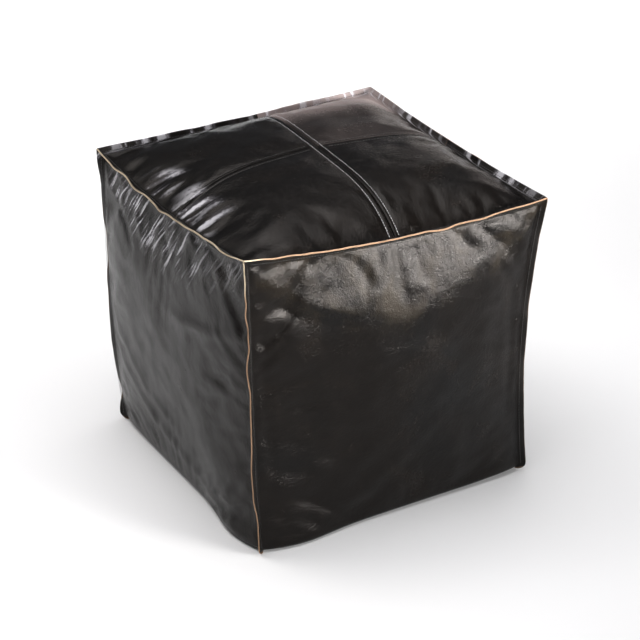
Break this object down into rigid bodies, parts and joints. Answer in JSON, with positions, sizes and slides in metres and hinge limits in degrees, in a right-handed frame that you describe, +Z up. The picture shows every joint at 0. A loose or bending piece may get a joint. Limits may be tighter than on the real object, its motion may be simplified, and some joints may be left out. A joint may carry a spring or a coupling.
{
  "type": "leather pouf",
  "caption": "Soft cube-shaped leather pouf with outward-turned edge seams, a cross of topstitched seams on the seat, a stuffed inner bag and a zip in the base.",
  "frame": {"origin": "on the floor under the centre of the pouf, the bottom centre of its box", "axes": "+X to the right seen from the front face, +Y to the back, +Z up; the zip in the base runs along Y"},
  "size_m": [0.451, 0.451, 0.4541],
  "materials": {
    "leather_black": "glossy, pull-up grain with broad highlights",
    "thread_light": "matt twisted thread",
    "thread_dark": "waxed twisted thread",
    "zip_tape": "matt woven tape",
    "zip_coil": "satin moulded coil",
    "zip_metal": "satin nickel",
    "bag_cotton": "plain woven calico",
    "stuffing": "loose fibre"
  },
  "bodies": {
    "pouf": {"base_panel_left": "leather_black", "base_panel_right": "leather_black", "base_seam_thread_back": "thread_dark", "base_seam_thread_front": "thread_dark", "base_seam_thread_left": "thread_dark", "base_seam_thread_right": "thread_dark", "closing_thread_cross_left": "thread_dark", "closing_thread_cross_right": "thread_dark", "closing_thread_long": "thread_dark", "corner_seam_thread_back_left_on_back": "thread_dark", "corner_seam_thread_back_left_on_left": "thread_dark", "corner_seam_thread_back_right_on_back": "thread_dark", "corner_seam_thread_back_right_on_right": "thread_dark", "corner_seam_thread_front_left_on_front": "thread_dark", "corner_seam_thread_front_left_on_left": "thread_dark", "corner_seam_thread_front_right_on_front": "thread_dark", "corner_seam_thread_front_right_on_right": "thread_dark", "filling": "stuffing", "inner_bag": "bag_cotton", "side_panel_back": "leather_black", "side_panel_front": "leather_black", "side_panel_left": "leather_black", "side_panel_right": "leather_black", "top_panel_back_left": "leather_black", "top_panel_back_right": "leather_black", "top_panel_front_left": "leather_black", "top_panel_front_right": "leather_black", "top_seam_thread_back_lower": "thread_dark", "top_seam_thread_back_upper": "thread_dark", "top_seam_thread_front_lower": "thread_dark", "top_seam_thread_front_upper": "thread_dark", "top_seam_thread_left_lower": "thread_dark", "top_seam_thread_left_upper": "thread_dark", "top_seam_thread_right_lower": "thread_dark", "top_seam_thread_right_upper": "thread_dark", "topstitch_cross_left_back": "thread_dark", "topstitch_cross_left_front": "thread_dark", "topstitch_cross_right_back": "thread_dark", "topstitch_cross_right_front": "thread_dark", "topstitch_long_left": "thread_light", "topstitch_long_right": "thread_light", "zip_bottom_stop": "zip_metal", "zip_coil_left": "zip_coil", "zip_coil_right": "zip_coil", "zip_stitching_left": "thread_dark", "zip_stitching_right": "thread_dark", "zip_tape_left": "zip_tape", "zip_tape_right": "zip_tape", "zip_top_stop": "zip_metal"},
    "slider": {"zip_slider": "zip_metal"},
    "pull_tab": {"zip_pull_tab": "zip_metal"}
  },
  "joints": [
    {"name": "zip_slide", "type": "slide", "parent": "pouf", "child": "slider", "axis": [0, -1, 0], "range_m": [0, 0.26]},
    {"name": "pull_tab_hinge", "type": "hinge", "parent": "slider", "child": "pull_tab", "pos_m": [0, 0.1397, 0.0027], "axis": [1, 0, 0], "range_deg": [0, 170]}
  ]
}
